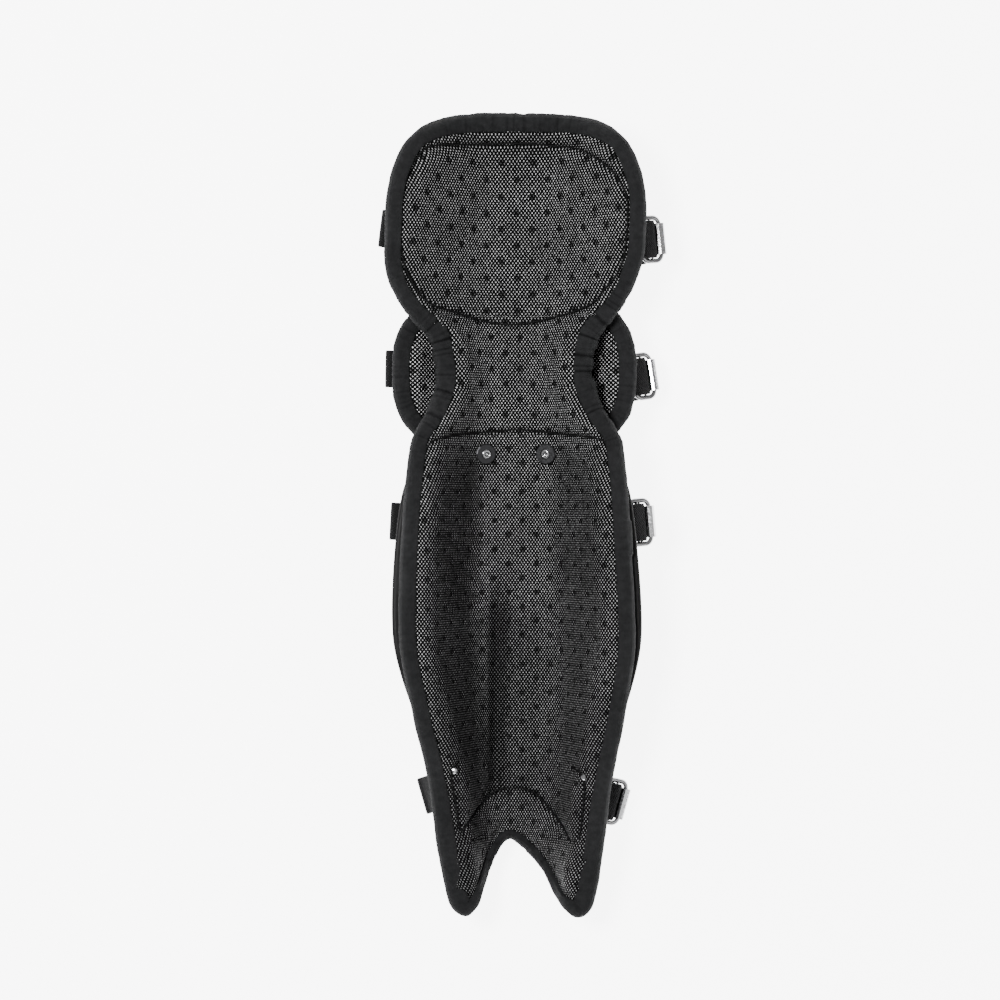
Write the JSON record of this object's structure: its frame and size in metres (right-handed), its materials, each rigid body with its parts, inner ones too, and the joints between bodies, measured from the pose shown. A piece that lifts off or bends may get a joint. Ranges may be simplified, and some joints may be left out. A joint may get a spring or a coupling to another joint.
{
  "type": "umpire leg guard",
  "caption": "Padded trough for the knee and shin in an hourglass outline with a bound edge, on hard shells, held by webbing straps that hook into metal frames.",
  "frame": {"origin": "under the middle of the guard, on the surface that it lies on", "axes": "+Y from the foot flap to the knee, +Z out of the hollow, +X to the side where the straps hook"},
  "size_m": [0.1946, 0.5422, 0.0898],
  "materials": {
    "mesh_lining": "black air mesh over foam",
    "binding_tape": "matte black folded tape",
    "hard_shell": "black moulded plastic",
    "webbing": "black woven webbing",
    "chrome": "polished plated steel",
    "dark_washer": "dark coated steel"
  },
  "bodies": {
    "root": {"adjuster_ankle": "chrome", "adjuster_knee": "chrome", "adjuster_shin": "chrome", "adjuster_wing": "chrome", "ankle_rivet_left": "chrome", "ankle_rivet_right": "chrome", "frame_ankle": "chrome", "frame_knee": "chrome", "frame_shin": "chrome", "frame_wing": "chrome", "hook_ankle": "chrome", "hook_knee": "chrome", "hook_shin": "chrome", "hook_wing": "chrome", "instep_shell": "hard_shell", "knee_shell": "hard_shell", "liner_binding": "binding_tape", "liner_pad": "mesh_lining", "mid_shell": "hard_shell", "screw_left": "chrome", "screw_right": "chrome", "shin_shell": "hard_shell", "strap_ankle": "webbing", "strap_knee": "webbing", "strap_rivet_ankle": "chrome", "strap_rivet_knee": "chrome", "strap_rivet_shin": "chrome", "strap_rivet_wing": "chrome", "strap_shin": "webbing", "strap_wing": "webbing", "tab_ankle": "webbing", "tab_knee": "webbing", "tab_rivet_ankle": "chrome", "tab_rivet_knee": "chrome", "tab_rivet_shin": "chrome", "tab_rivet_wing": "chrome", "tab_shin": "webbing", "tab_wing": "webbing", "washer_left": "dark_washer", "washer_right": "dark_washer", "wing_binding": "binding_tape", "wing_pad": "mesh_lining"}
  },
  "joints": []
}
